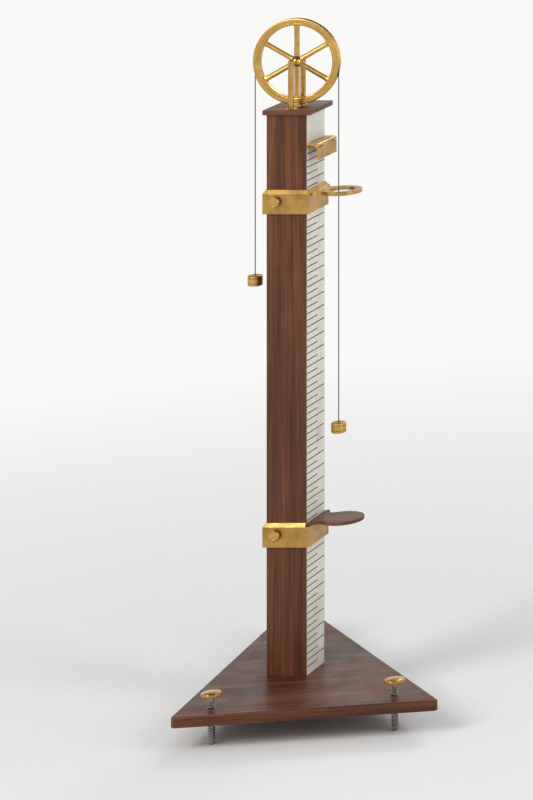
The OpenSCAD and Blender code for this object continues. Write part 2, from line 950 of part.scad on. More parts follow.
module ring_platform() {
    color("#c39a4a")
        placed()
            difference() {
                union() {
                    translate([0, 0, ring_z])
                        linear_extrude(plate_t)
                            paddle_outline(ring_r);
                    translate([collar_out.x / 2 - arm_seat, -arm_seat_w / 2, ring_z])
                        cube([arm_seat + over, arm_seat_w, plate_t]);
                }
                translate([disc_out, 0, ring_z - over])
                    cylinder(r = ring_hole_r, h = plate_t + 2 * over);
            }
}

module catch_platform() {
    color("#6a3d24")
        placed() {
            translate([0, 0, catch_z])
                linear_extrude(plate_t)
                    paddle_outline(catch_r);
            translate([collar_in.x / 2, -collar_out.y / 2, catch_z])
                cube([collar_wall + over, collar_out.y, plate_t]);
        }
}

module thumbscrew(collar_z) {
    shank_l = sliding_gap - tip_gap + collar_wall + over;
    head_r = thumb_d / 2;
    color("#c39a4a")
        placed()
            translate([-thumb_left, -collar_out.y / 2, collar_z + thumb_lift])
                rotate([90, 0, 0]) {
                    translate([0, 0, over - shank_l])
                        cylinder(d = thumb_shank_d, h = shank_l);
                    translate([0, 0, seat_gap])
                        cylinder(d = thumb_neck_d, h = thumb_neck_l + over);
                    translate([0, 0, seat_gap + thumb_neck_l])
                        rotate_extrude()
                            polygon([
                                [0, 0],
                                [head_r - thumb_round, 0],
                                [head_r, thumb_round],
                                [head_r, thumb_t - thumb_round],
                                [head_r - thumb_round, thumb_t],
                                [0, thumb_t],
                            ]);
                }
}

module upper_thumbscrew() { thumbscrew(upper_collar_z); }
module lower_thumbscrew() { thumbscrew(lower_collar_z); }

base_board();
foot_screws();
levelling_bushes();
left_levelling_screw();
right_levelling_screw();
rear_levelling_screw();
left_levelling_head();
right_levelling_head();
rear_levelling_head();
column();
scale_strip();
scale_marks();
cap_board();
fork_foot();
fork_screws();
front_upright();
rear_upright();
front_bearing_bush();
rear_bearing_bush();
axle();
axle_keepers();
wheel_rim();
wheel_spokes();
wheel_hub();
cord_over_wheel();
left_cord();
right_cord();
left_weight();
right_weight();
left_knot();
right_knot();
shelf_plate();
shelf_hinge_pin();
drop_leaf();
upper_collar();
ring_platform();
upper_thumbscrew();
lower_collar();
catch_platform();
lower_thumbscrew();
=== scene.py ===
"""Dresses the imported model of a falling-weight pulley apparatus for rendering."""
import math

import bmesh
import bpy
from mathutils import Matrix, Vector


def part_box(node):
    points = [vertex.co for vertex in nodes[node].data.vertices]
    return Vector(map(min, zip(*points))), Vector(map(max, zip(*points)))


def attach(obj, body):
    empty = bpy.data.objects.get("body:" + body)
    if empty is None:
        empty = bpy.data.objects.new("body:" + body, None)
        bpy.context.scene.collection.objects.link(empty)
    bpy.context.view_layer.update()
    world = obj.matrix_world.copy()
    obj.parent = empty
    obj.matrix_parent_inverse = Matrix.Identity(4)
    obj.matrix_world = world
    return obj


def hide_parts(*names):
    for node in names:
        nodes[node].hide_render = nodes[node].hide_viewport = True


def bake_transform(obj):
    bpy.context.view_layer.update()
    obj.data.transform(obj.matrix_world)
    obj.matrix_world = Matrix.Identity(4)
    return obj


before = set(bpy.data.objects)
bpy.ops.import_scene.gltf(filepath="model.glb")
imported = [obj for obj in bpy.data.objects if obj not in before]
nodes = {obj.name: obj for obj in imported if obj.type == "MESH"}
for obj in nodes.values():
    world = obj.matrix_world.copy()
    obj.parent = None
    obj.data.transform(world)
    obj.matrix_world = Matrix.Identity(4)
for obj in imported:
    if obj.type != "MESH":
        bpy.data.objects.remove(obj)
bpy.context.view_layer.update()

MM = 0.001  # metres
scene = bpy.context.scene


def centre(node):
    low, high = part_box(node)
    return Vector((low[i] + high[i]) / 2 for i in range(3))


column_x = centre("column").x
column_y = centre("column").y
axle = centre("axle")


# ---------------------------------------------------------------- camera

# The picture shows front faces squarely while the depth runs right and up, so the camera looks along Y from a point to
# the right and above, with its picture plane kept upright.
EYE = Vector((2579.25, -6201, 2049)) * MM
CENTRE_OF_VIEW = Vector((-30, -33, 468)) * MM
LENS = 137.6
CLIP_END = 100


def make_camera():
    data = bpy.data.cameras.new("camera")
    data.sensor_fit = "VERTICAL"
    data.lens = LENS
    data.clip_end = CLIP_END
    camera = bpy.data.objects.new("camera", data)
    holder = bpy.data.objects.new("camera_holder", None)
    for o in (camera, holder):
        scene.collection.objects.link(o)
    back = (EYE - CENTRE_OF_VIEW).normalized()
    slanted = Matrix((
        (1, 0, back.x, EYE.x + column_x),
        (0, 0, back.y, EYE.y + column_y),
        (0, 1, back.z, EYE.z),
        (0, 0, 0, 1),
    ))
    camera.parent = holder
    camera.matrix_parent_inverse = slanted
    scene.camera = camera
    bpy.context.view_layer.update()


make_camera()


# ---------------------------------------------------------------- node trees

UNTURNED = (0, 0, 0)
NOISE_RANGE = (0.3, 0.7)  # a noise's values mostly lie between these
EDGE_GAIN = 5.0  # how fast a bend in the surface counts as an edge
RECESS_GAIN = 1.6
RAYS = 6  # for each look at an edge or a recess


def scaled(colour, factor):
    return tuple(min(1.0, c * factor) for c in colour)


class Tree:
    """Short way to write the node tree of a material or the world."""

    def __init__(self, owner):
        self.owner = owner
        owner.use_nodes = True
        self.tree = owner.node_tree
        self.tree.nodes.clear()

    def add(self, kind, settings=None, **sockets):
        """A new node. Its sockets are named with _ for a space, or i0, i1 ... by their place."""
        node = self.tree.nodes.new("ShaderNode" + kind)
        for key, value in (settings or {}).items():
            setattr(node, key, value)
        for key, value in sockets.items():
            self.feed(node, key, value)
        return node

    def feed(self, node, key, value):
        index = int(key[1:]) if key[0] == "i" and key[1:].isdigit() else key.replace("_", " ")
        socket = node.inputs[index]
        if isinstance(value, bpy.types.NodeSocket):
            self.tree.links.new(value, socket)
        else:
            socket.default_value = value

    def coords(self, scale, turn=UNTURNED, shift=(0, 0, 0)):
        place = self.add("TexCoord")
        turned = self.add("Mapping", Vector=place.outputs["Object"], Rotation=turn)
        return self.add("Mapping", Vector=turned.outputs[0], Scale=scale, Location=shift).outputs[0]

    def noise(self, vector, detail=3.0, rough=0.55, distortion=0.0):
        node = self.add("TexNoise", Vector=vector, Scale=1.0, Detail=detail, Roughness=rough, Distortion=distortion)
        return node.outputs["Fac"]

    def ramp(self, value, stops):
        node = self.add("ValToRGB", Fac=value)
        points = node.color_ramp.elements
        while len(points) < len(stops):
            points.new(0.5)
        for point, (at, colour) in zip(points, stops):
            point.position = at
            point.color = (*colour, 1)
        return node.outputs["Color"]

    def mask(self, value, low, high):
        """0 up to low and 1 from high on."""
        return self.ramp(value, [(low, (0, 0, 0)), (high, (1, 1, 1))])

    def math(self, operation, a, b):
        return self.add("Math", {"operation": operation}, i0=a, i1=b).outputs[0]

    def span(self, noise, low, high):
        """A noise spread from low to high."""
        node = self.add("MapRange", Value=noise, From_Min=NOISE_RANGE[0], From_Max=NOISE_RANGE[1],
                        To_Min=low, To_Max=high)
        return node.outputs["Result"]

    def mix(self, factor, a, b, blend="MIX"):
        node = self.add("Mix", {"data_type": "RGBA", "blend_type": blend})
        self.feed(node, "i0", factor)
        self.feed(node, "i6", a if isinstance(a, bpy.types.NodeSocket) else (*a, 1))
        self.feed(node, "i7", b if isinstance(b, bpy.types.NodeSocket) else (*b, 1))
        return node.outputs[2]

    def tint(self, colour, where, amount, other):
        """Goes over to another colour where the mask is 1, by the amount."""
        return self.mix(self.math("MULTIPLY", where, amount), colour, other)

    def shade(self, colour, amount, value, stops):
        """Multiplies a colour by a ramp of the value, by the amount."""
        return self.mix(amount, colour, self.ramp(value, stops), "MULTIPLY")

    def round_normal(self, radius):
        return self.add("Bevel", {"samples": RAYS}, Radius=radius).outputs[0]

    def edges(self, radius):
        """1 on a sharp edge and 0 on a flat face."""
        flat_normal = self.add("NewGeometry").outputs["Normal"]
        dot = self.add("VectorMath", {"operation": "DOT_PRODUCT"}, i0=self.round_normal(radius), i1=flat_normal)
        lost = self.math("SUBTRACT", 1.0, dot.outputs["Value"])
        return self.math("MINIMUM", self.math("MULTIPLY", lost, EDGE_GAIN), 1.0)

    def recess(self, distance):
        """0 on an open face and up to 1 in a narrow recess. The materials darken by it as painted shade."""
        open_air = self.add("AmbientOcclusion", {"samples": RAYS, "only_local": True}, Distance=distance)
        hidden = self.math("SUBTRACT", 1.0, open_air.outputs["AO"])
        return self.math("MINIMUM", self.math("MULTIPLY", hidden, RECESS_GAIN), 1.0)

    def bump(self, height, distance, strength, radius=0.0):
        node = self.add("Bump", Height=height, Distance=distance, Strength=strength)
        if radius:
            self.feed(node, "Normal", self.round_normal(radius))
        return node.outputs[0]

    def shader(self, **sockets):
        shader = self.add("BsdfPrincipled", **sockets)
        self.add("OutputMaterial", Surface=shader.outputs[0])
        return self.owner


def new_material(name):
    return Tree(bpy.data.materials.new(name))


# ---------------------------------------------------------------- materials

# The noises' scales are per metre, along the local X, Y and Z. Other lengths are in metres.

MAHOGANY_DARK = (0.034, 0.010, 0.004)
MAHOGANY_LIGHT = (0.205, 0.068, 0.024)
WOOD_PORE = (0.018, 0.007, 0.004)


def wood(name, turn, shift, dark=MAHOGANY_DARK, light=MAHOGANY_LIGHT):
    """Stained and polished hardwood, lighter on its scuffed edges from wear and a painted highlight. The grain runs
    along the local X after the turn.
    """
    t = new_material(name)
    place = (shift, shift * 0.7, shift * 0.4)
    broad = t.noise(t.coords((1.6, 14, 14), turn, place), 4, 0.6, 0.6)
    bands = t.noise(t.coords((1.1, 95, 95), turn, place), 3, 0.6, 0.3)
    fibre = t.noise(t.coords((9, 520, 520), turn, place), 2, 0.6)
    pores = t.noise(t.coords((70, 1500, 1500), turn, place), 1, 0.5)
    scuffs_and_highlight = t.noise(t.coords((60, 60, 60), turn, place), 4, 0.7)
    polish = t.noise(t.coords((22, 22, 22), turn, place), 4, 0.6)
    figure = t.math("ADD", t.math("MULTIPLY", broad, 0.45), t.math("MULTIPLY", bands, 0.55))
    middle = tuple((a + b) / 2 for a, b in zip(dark, light))
    colour = t.ramp(figure, [(0.34, dark), (0.5, middle), (0.66, light)])
    colour = t.shade(colour, 0.8, fibre, [(0.36, (0.50, 0.46, 0.43)), (0.62, (1.2, 1.17, 1.14))])
    filled = t.mask(pores, 0.28, 0.42)
    colour = t.tint(colour, t.math("SUBTRACT", 1.0, filled), 0.45, WOOD_PORE)
    # lighter on sharp edges where the scuffs fall: partly wear, partly a painted highlight
    colour = t.tint(colour, t.edges(0.0012), t.span(scuffs_and_highlight, 0.05, 0.75), scaled(light, 1.7))
    relief = t.math("ADD", t.math("MULTIPLY", filled, 0.7), t.math("MULTIPLY", fibre, 0.5))
    normal = t.bump(relief, 0.00012, 0.8, radius=0.0006)
    return t.shader(Base_Color=colour, Roughness=t.span(polish, 0.34, 0.52), Normal=normal,
                    Specular_IOR_Level=0.26, Coat_Weight=0.08, Coat_Roughness=0.15)


def brass(name, light, dark, rough, tarnish, brushed=(400, 400, 12), relief=0.000008):
    """Lacquered brass with brushing, handling marks and a little tarnish, a painted highlight on its edges and painted
    shade in its recesses.
    """
    t = new_material(name)
    patches = t.noise(t.coords((26, 26, 26)), 5, 0.62, 0.4)
    spots = t.noise(t.coords((170, 170, 170)), 3, 0.7)
    lines = t.noise(t.coords(brushed), 3, 0.6)
    colour = t.tint(light, t.mask(patches, 0.42, 0.68), tarnish, dark)
    colour = t.tint(colour, t.mask(spots, 0.60, 0.76), tarnish * 0.5, scaled(dark, 0.45))
    colour = t.shade(colour, 0.4, lines, [(0.3, (0.66, 0.63, 0.58)), (0.7, (1.1, 1.1, 1.1))])
    # painted highlight along the sharp edges
    colour = t.tint(colour, t.edges(0.0006), 0.55, scaled(light, 1.3))
    # painted shade in recesses, darker than the tarnish
    colour = t.tint(colour, t.recess(0.004), 0.75, scaled(dark, 0.22))
    gloss = t.math("ADD", t.span(patches, *rough), t.math("MULTIPLY", lines, 0.10))
    normal = t.bump(lines, relief, 0.6, radius=0.0003)
    return t.shader(Base_Color=colour, Metallic=1.0, Roughness=gloss, Normal=normal)


STEEL_DARK = (0.26, 0.245, 0.23)
STEEL_LIGHT = (0.46, 0.455, 0.45)
# painted highlight for the edges, over their wear
STEEL_EDGE_HIGHLIGHT = (0.78, 0.78, 0.77)
# painted shade for the grooves
STEEL_GROOVE_SHADE = (0.045, 0.040, 0.036)


def steel(name):
    """Turned steel, bright at its edges from wear and a painted highlight, with painted shade in its grooves."""
    t = new_material(name)
    patches = t.noise(t.coords((40, 40, 40)), 5, 0.65, 0.3)
    lines = t.noise(t.coords((30, 30, 900)), 2, 0.6)
    colour = t.ramp(patches, [(0.35, STEEL_DARK), (0.65, STEEL_LIGHT)])
    colour = t.shade(colour, 0.3, lines, [(0.3, (0.7, 0.7, 0.7)), (0.7, (1.1, 1.1, 1.1))])
    # painted highlight on the edges, over their wear
    colour = t.tint(colour, t.edges(0.0005), 0.5, STEEL_EDGE_HIGHLIGHT)
    # painted shade in the grooves and recesses
    colour = t.tint(colour, t.recess(0.003), 0.85, STEEL_GROOVE_SHADE)
    normal = t.bump(lines, 0.00003, 0.6, radius=0.0003)
    return t.shader(Base_Color=colour, Metallic=1.0, Roughness=t.span(patches, 0.26, 0.42), Normal=normal)


PAINT_YELLOWED = (0.70, 0.64, 0.51)
PAINT_CREAM = (0.80, 0.765, 0.67)
PAINT_CLEAN = (0.85, 0.825, 0.75)
PAINT_SPECK = (0.30, 0.22, 0.14)
PAINT_EDGE = (0.42, 0.33, 0.22)


def scale_paint(name):
    """Old white oil paint: a little yellowed, rubbed by the sliders and handled at the edges."""
    t = new_material(name)
    cloud = t.noise(t.coords((9, 9, 9)), 5, 0.6, 0.5)
    rubbed = t.noise(t.coords((260, 260, 5)), 3, 0.6)
    specks = t.noise(t.coords((420, 420, 420)), 2, 0.6)
    colour = t.ramp(cloud, [(0.3, PAINT_YELLOWED), (0.52, PAINT_CREAM), (0.75, PAINT_CLEAN)])
    colour = t.shade(colour, 0.35, rubbed, [(0.36, (0.80, 0.76, 0.70)), (0.55, (1.0, 1.0, 1.0))])
    colour = t.tint(colour, t.mask(specks, 0.66, 0.76), 0.4, PAINT_SPECK)
    colour = t.tint(colour, t.edges(0.0009), 0.5, PAINT_EDGE)
    normal = t.bump(t.math("ADD", rubbed, cloud), 0.00010, 0.5, radius=0.0003)
    return t.shader(Base_Color=colour, Roughness=t.span(cloud, 0.38, 0.55), Normal=normal)


def mark_paint(name):
    """Black paint, thin in places."""
    t = new_material(name)
    wear = t.noise(t.coords((150, 150, 300)), 4, 0.7)
    colour = t.ramp(wear, [(0.35, (0.012, 0.011, 0.010)), (0.6, (0.030, 0.027, 0.024)), (0.78, (0.12, 0.10, 0.08))])
    return t.shader(Base_Color=colour, Roughness=t.span(wear, 0.45, 0.7), Normal=t.bump(wear, 0.00008, 0.5))


def cord_fibre(name):
    """Dark silk with fine hairs."""
    t = new_material(name)
    tone = t.noise(t.coords((130, 130, 130)), 4, 0.6)
    hairs = t.noise(t.coords((2600, 2600, 900)), 2, 0.6)
    colour = t.ramp(tone, [(0.3, (0.014, 0.009, 0.006)), (0.7, (0.042, 0.027, 0.017))])
    colour = t.shade(colour, 0.5, hairs, [(0.3, (0.55, 0.52, 0.5)), (0.6, (1.2, 1.2, 1.2))])
    return t.shader(Base_Color=colour, Roughness=t.span(hairs, 0.7, 0.9), Sheen_Weight=0.1,
                    Normal=t.bump(hairs, 0.0001, 0.6))


UPRIGHT_GRAIN = (0, math.radians(90), 0)
BOARD_GRAIN = (0, 0, math.radians(-12.5))  # the board is turned about the column
column_wood = wood("wood_column", UPRIGHT_GRAIN, 0.31)
board_wood = wood("wood_board", BOARD_GRAIN, 1.7)
cap_wood = wood("wood_cap", UNTURNED, 3.1)
catch_wood = wood("wood_catch", UNTURNED, 5.3, (0.055, 0.018, 0.008), (0.25, 0.092, 0.036))

BRIGHT = (0.60, 0.365, 0.105)
DULL = (0.26, 0.145, 0.048)
TURNED_LINES = (60, 60, 900)
wheel_brass = brass("brass_wheel", BRIGHT, DULL, (0.15, 0.26), 0.3, brushed=(120, 30, 120), relief=0.000003)
turned_brass = brass("brass_turned", BRIGHT, DULL, (0.14, 0.25), 0.3, brushed=TURNED_LINES, relief=0.000004)
weight_brass = brass("brass_weight", BRIGHT, DULL, (0.38, 0.50), 0.35, brushed=TURNED_LINES)
fork_brass = brass("brass_fork", (0.54, 0.325, 0.095), DULL, (0.20, 0.32), 0.55, brushed=(900, 900, 20))
collar_brass = brass("brass_collar", (0.52, 0.31, 0.092), (0.22, 0.12, 0.042), (0.24, 0.38), 0.65,
                     brushed=(14, 14, 900))
plate_brass = brass("brass_plate", (0.55, 0.335, 0.10), (0.24, 0.135, 0.048), (0.22, 0.34), 0.6,
                    brushed=(14, 600, 600))
aged_brass = brass("brass_aged", (0.30, 0.175, 0.062), (0.13, 0.070, 0.026), (0.38, 0.52), 0.8, relief=0.000004)
plain_steel = steel("steel_plain")
scale_white = scale_paint("paint_scale")
scale_black = mark_paint("paint_marks")
silk = cord_fibre("cord_silk")

CARRIED = {
    "base_board": board_wood, "column": column_wood, "cap_board": cap_wood, "catch_platform": catch_wood,
    "scale_strip": scale_white, "scale_marks": scale_black,
    "levelling_bushes": aged_brass, "foot_screws": plain_steel,
    "fork_foot": plate_brass, "fork_screws": plain_steel,
    "front_upright": fork_brass, "rear_upright": fork_brass,
    "front_bearing_bush": turned_brass, "rear_bearing_bush": turned_brass,
    "axle": plain_steel, "axle_keepers": turned_brass,
    "wheel_rim": wheel_brass, "wheel_spokes": wheel_brass, "wheel_hub": turned_brass,
    "shelf_plate": plate_brass, "shelf_hinge_pin": plain_steel, "drop_leaf": plate_brass,
    "upper_collar": collar_brass, "lower_collar": collar_brass, "ring_platform": plate_brass,
    "upper_thumbscrew": turned_brass, "lower_thumbscrew": turned_brass,
    "left_weight": weight_brass, "right_weight": weight_brass, "left_knot": silk, "right_knot": silk,
    "left_levelling_screw": plain_steel, "left_levelling_head": turned_brass,
    "right_levelling_screw": plain_steel, "right_levelling_head": turned_brass,
    "rear_levelling_screw": plain_steel, "rear_levelling_head": turned_brass,
    "cord_over_wheel": silk, "left_cord": silk, "right_cord": silk,
}
for node, material in CARRIED.items():
    for slot in nodes[node].material_slots:
        slot.material = material


# ---------------------------------------------------------------- mesh helpers

SHARP_ANGLE = math.radians(32)


def mesh_piece(name, points, faces, body, material, replaces):
    """A new mesh in place of a CAD node. It has no body of its own where it is stretched between two."""
    mesh = bpy.data.meshes.new(name)
    mesh.from_pydata([tuple(p) for p in points], [], faces)
    mesh.validate()
    mesh.update()
    mesh.materials.append(material)
    mesh.shade_smooth()
    mesh.set_sharp_from_angle(angle=SHARP_ANGLE)
    piece = bpy.data.objects.new(name, mesh)
    scene.collection.objects.link(piece)
    if body:
        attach(piece, body)
    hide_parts(replaces)
    return piece


def outward(piece):
    """Turns all faces outward."""
    shape = bmesh.new()
    shape.from_mesh(piece.data)
    bmesh.ops.recalc_face_normals(shape, faces=shape.faces)
    shape.to_mesh(piece.data)
    shape.free()


def grid_faces(rows, sides, closed=False):
    """Faces of a tube of rows, with an end cap at both ends or closed into a ring."""
    faces = []
    for i in range(rows if closed else rows - 1):
        for k in range(sides):
            a, b = i * sides + k, i * sides + (k + 1) % sides
            c, d = ((i + 1) % rows) * sides + k, ((i + 1) % rows) * sides + (k + 1) % sides
            faces.append((a, b, d, c))
    if not closed:
        faces.append(tuple(range(sides))[::-1])
        faces.append(tuple((rows - 1) * sides + k for k in range(sides)))
    return faces


def tube(path, radius_at, sides, closed=False):
    """Points of a tube along a path; radius_at(row, angle, distance) gives the section."""
    points = []
    count = len(path)
    run = 0.0
    side = None
    for i, p in enumerate(path):
        before = path[(i - 1) % count] if closed or i else path[0]
        after = path[(i + 1) % count] if closed or i < count - 1 else path[-1]
        along = (after - before).normalized()
        if side is None:
            side = along.orthogonal().normalized()
        side = (side - along * side.dot(along)).normalized()
        other = along.cross(side)
        if i:
            run += (p - path[i - 1]).length
        for k in range(sides):
            angle = 2 * math.pi * k / sides
            r = radius_at(i, angle, run)
            points.append(p + side * (r * math.cos(angle)) + other * (r * math.sin(angle)))
    return points


# ---------------------------------------------------------------- cord

CORD_R = 0.75 * MM
CORD_TURN_R = 62.95 * MM  # of the cord's middle line on the wheel
CORD_SIDES = 12
ROW_STEP = 0.8 * MM
STRANDS = 3
STRAND_STEP = 5.0 * MM  # from one strand to the next along the cord
SWELL = 0.06  # of the radius
ROUTE_POINTS = 60


def strands(row, angle, run):
    """Section of a cord laid up from three strands."""
    return CORD_R * (1 - SWELL + SWELL * math.cos(STRANDS * angle - 2 * math.pi * run / STRAND_STEP))


def cord_piece(name, path, body, node, exit_point):
    points = tube(path, strands, CORD_SIDES)
    piece = mesh_piece(name, points, grid_faces(len(path), CORD_SIDES), body, silk, node)
    route = path[::len(path) // ROUTE_POINTS]
    if route[-1] != path[-1]:
        route = route + [path[-1]]
    tuple(exit_point)
    [tuple(p) for p in route]
    return piece


def over_wheel():
    """The stretch that lies in the wheel's groove, from its right side over the top to its left."""
    length = math.pi * CORD_TURN_R
    steps = int(length / ROW_STEP)
    path = [axle + Vector((math.cos(a), 0, math.sin(a))) * CORD_TURN_R
            for a in (math.pi * i / steps for i in range(steps + 1))]
    cord_piece("silk_cord_over_wheel", path, "stand", "cord_over_wheel", path[0])


def hanging(side, node):
    """A stretch that hangs down to the knot under its weight. side is -1 for the left."""
    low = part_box(node)[0][2]
    top = Vector((axle.x + side * CORD_TURN_R, axle.y, axle.z))
    length = top.z - low
    steps = int(length / ROW_STEP)
    path = [top - Vector((0, 0, length * i / steps)) for i in range(steps + 1)]
    piece = cord_piece("silk_" + node, path, None, node, top)
    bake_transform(piece)


over_wheel()
hanging(-1, "left_cord")
hanging(1, "right_cord")


# ---------------------------------------------------------------- turned pieces

# All profiles here are (radius, height) in millimetres.
KNURL = (0.0, 0.8, 1.0, 0.8)  # one tooth, from its groove to its top and back
ACROSS = Matrix.Rotation(math.pi / 2, 3, "X")  # sets a piece turned round Z along Y


def lathe(profile, sides, knurled=(), depth=0.0):
    """A solid turned round Z. The profile is a closed ring, or starts and ends on the axis.
    Its points whose numbers are in knurled are cut by straight grooves of the given depth."""
    points, faces, rows = [], [], []
    for i, (r, z) in enumerate(profile):
        if r == 0:
            rows.append([len(points)])
            points.append(Vector((0, 0, z)) * MM)
            continue
        rows.append(list(range(len(points), len(points) + sides)))
        for k in range(sides):
            radius = r - (depth * (1 - KNURL[k % len(KNURL)]) if i in knurled else 0.0)
            a = 2 * math.pi * k / sides
            points.append(Vector((radius * math.cos(a), radius * math.sin(a), z)) * MM)
    pairs = list(zip(rows, rows[1:]))
    if len(rows[0]) > 1:
        pairs.append((rows[-1], rows[0]))
    for low, high in pairs:
        for k in range(sides):
            n = (k + 1) % sides
            if len(low) == 1:
                faces.append((low[0], high[n], high[k]))
            elif len(high) == 1:
                faces.append((low[k], low[n], high[0]))
            else:
                faces.append((low[k], low[n], high[n], high[k]))
    return points, faces


def ridge(z_from, z_to, pitch, inner, outer, foot, crest):
    """The ridge of a screw thread, foot and crest wide. It fades out at both ends."""
    sides = 28
    bite, least = 0.3, 0.05  # how deep it starts in the core, and how high it stands where it has faded out
    fade = 0.4  # of a turn
    count = int((z_to - z_from) / pitch * sides)
    points = []
    for i in range(count + 1):
        a = 2 * math.pi * i / sides
        z = z_from + pitch * i / sides
        rise = min(1.0, i / (sides * fade), (count - i) / (sides * fade))
        top = inner + least + (outer - inner - least) * rise
        for r, dz in ((inner - bite, -foot / 2), (top, -crest / 2), (top, crest / 2), (inner - bite, foot / 2)):
            points.append(Vector((r * math.cos(a), r * math.sin(a), z + dz)) * MM)
    return points, grid_faces(count + 1, 4)


def joined(*parts):
    """One shape of several."""
    points, faces = [], []
    for more_points, more_faces in parts:
        base = len(points)
        points += more_points
        faces += [tuple(base + v for v in face) for face in more_faces]
    return points, faces


def turned_piece(name, shape, place, body, material, node, turn=None):
    """A shape, turned and then set in its place."""
    points, faces = shape
    if turn:
        points = [turn @ p for p in points]
    outward(mesh_piece(name, [p + Vector(place) for p in points], faces, body, material, node))


def levelling_set(side):
    """A levelling screw with its thread, and the knurled head on top of it."""
    place = centre(side + "_levelling_screw")
    head_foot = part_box(side + "_levelling_head")[0][2]
    top = head_foot / MM - 0.05  # a hair under the head
    core = lathe([
        (0, 0), (2.6, 0), (3.0, 0.2), (4.3, 2.2), (4.5, 3.0), (3.75, 3.8), (3.75, top - 2.6),
        (4.6, top - 2.0), (4.6, top), (3.0, top), (3.0, top + 5.3), (0, top + 5.3),
    ], 32)
    thread = ridge(z_from=4.6, z_to=top - 3.2, pitch=4.0, inner=3.75, outer=5.22, foot=2.5, crest=0.9)
    turned_piece(side + "_thread", joined(core, thread), (place.x, place.y, 0), side + "_screw",
                 plain_steel, side + "_levelling_screw")
    knob = lathe([
        (0, 7.0), (2.5, 6.95), (5.5, 6.7), (9.0, 6.2), (11.6, 5.72), (12.0, 5.55), (12.9, 5.55), (13.9, 5.3),
        (14.3, 4.8), (14.48, 4.5), (14.48, 1.1), (14.3, 0.8), (14.0, 0.35), (13.1, 0), (3.4, 0), (3.05, 0.3),
        (3.05, 5.4), (0, 5.4),
    ], 256, knurled=(9, 10), depth=0.5)
    turned_piece(side + "_knob", knob, (place.x, place.y, head_foot), side + "_head",
                 turned_brass, side + "_levelling_head")


def wheel_rim():
    """The grooved rim. The list gives half of its section, from the groove's floor to the rim's inside."""
    half = [
        (62.0, 0.0), (62.0, 0.8), (62.25, 1.15), (64.5, 2.5), (64.85, 2.75), (65.0, 3.1), (64.95, 3.8), (64.6, 4.25),
        (63.9, 4.48), (63.0, 4.5), (58.6, 4.5), (58.3, 4.2), (58.0, 4.2), (57.7, 4.5), (56.0, 4.5), (55.2, 4.35),
        (54.7, 3.95), (54.5, 3.4), (54.5, 0.0),
    ]
    profile = half + [(r, -z) for r, z in half[-2:0:-1]]
    turned_piece("turned_rim", lathe(profile, 240), axle, "wheel", wheel_brass, "wheel_rim", ACROSS)


def wheel_spokes():
    """Six ridged arms that flare where they meet the hub and the rim. The section is for half a width and half a
    depth of 1, and each row gives the distance from the axle with these two."""
    section = [(-1, -0.22), (-0.55, -0.62), (-0.12, -0.97), (0.12, -0.97), (0.55, -0.62), (1, -0.22),
               (1, 0.22), (0.55, 0.62), (0.12, 0.97), (-0.12, 0.97), (-0.55, 0.62), (-1, 0.22)]
    rows = [(7.2, 4.3, 2.9), (8.4, 4.25, 2.8), (9.6, 4.1, 2.65), (11.5, 3.98, 2.55), (15.0, 3.92, 2.5),
            (30.0, 3.85, 2.45), (46.0, 3.88, 2.45), (50.0, 3.98, 2.5), (52.2, 4.3, 2.6), (53.6, 5.0, 2.8),
            (54.8, 6.0, 3.0)]
    parts = []
    for spoke in range(6):
        turn = Matrix.Rotation(math.radians(60 * spoke), 3, "Y")
        points = [turn @ (Vector((x * width, y * depth, out)) * MM) for out, width, depth in rows
                  for x, y in section]
        parts.append((points, grid_faces(len(rows), len(section))))
    turned_piece("ridged_spokes", joined(*parts), axle, "wheel", wheel_brass, "wheel_spokes")


def wheel_hub():
    """A ball with a flat and a bore at each end."""
    ball_r = 8.25
    half = [(ball_r * math.cos(a), ball_r * math.sin(a)) for a in (math.radians(5.8 * i) for i in range(13))]
    half += [(2.7, 7.75), (2.4, 7.95), (1.8, 7.95)]
    hub = lathe(half[::-1] + [(r, -z) for r, z in half[1:]], 64)
    turned_piece("turned_hub", hub, axle, "wheel", turned_brass, "wheel_hub", ACROSS)


def wheel_axle():
    """The axle, with a centre hole at each end."""
    low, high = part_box("axle")
    end = (high[1] - low[1]) / 2 / MM
    rod = lathe([(0, end - 0.5), (0.5, end - 0.2), (0.9, end), (1.4, end - 0.15), (1.75, end - 0.6),
                 (1.75, 0.6 - end), (1.4, 0.15 - end), (0.9, -end), (0.5, 0.2 - end), (0, 0.5 - end)], 32)
    turned_piece("turned_axle", rod, axle, "wheel", plain_steel, "axle", ACROSS)


def axle_keepers():
    """A ring on each end of the axle, with the head of its pin on top."""
    ring = [(1.8, 0.1), (3.5, 0.0), (4.0, 0.45), (4.0, 3.55), (3.5, 4.0), (1.8, 3.9)]
    pin = [(0, 4.35), (0.35, 4.35), (0.45, 4.45), (0.85, 4.45), (1.1, 4.25), (1.1, 3.6), (0, 3.6)]
    half = 2  # of a ring's width
    low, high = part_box("axle_keepers")
    out = (high[1] - low[1]) / 2 / MM
    parts = []
    for side in (-1, 1):
        place = Vector((0, side * (out - half), 0)) * MM
        points, faces = lathe(ring, 48)
        parts.append(([ACROSS @ (p - Vector((0, 0, half)) * MM) + place for p in points], faces))
        points, faces = lathe(pin, 16)
        parts.append(([p + place for p in points], faces))
    turned_piece("keeper_rings", joined(*parts), axle, "wheel", turned_brass, "axle_keepers")


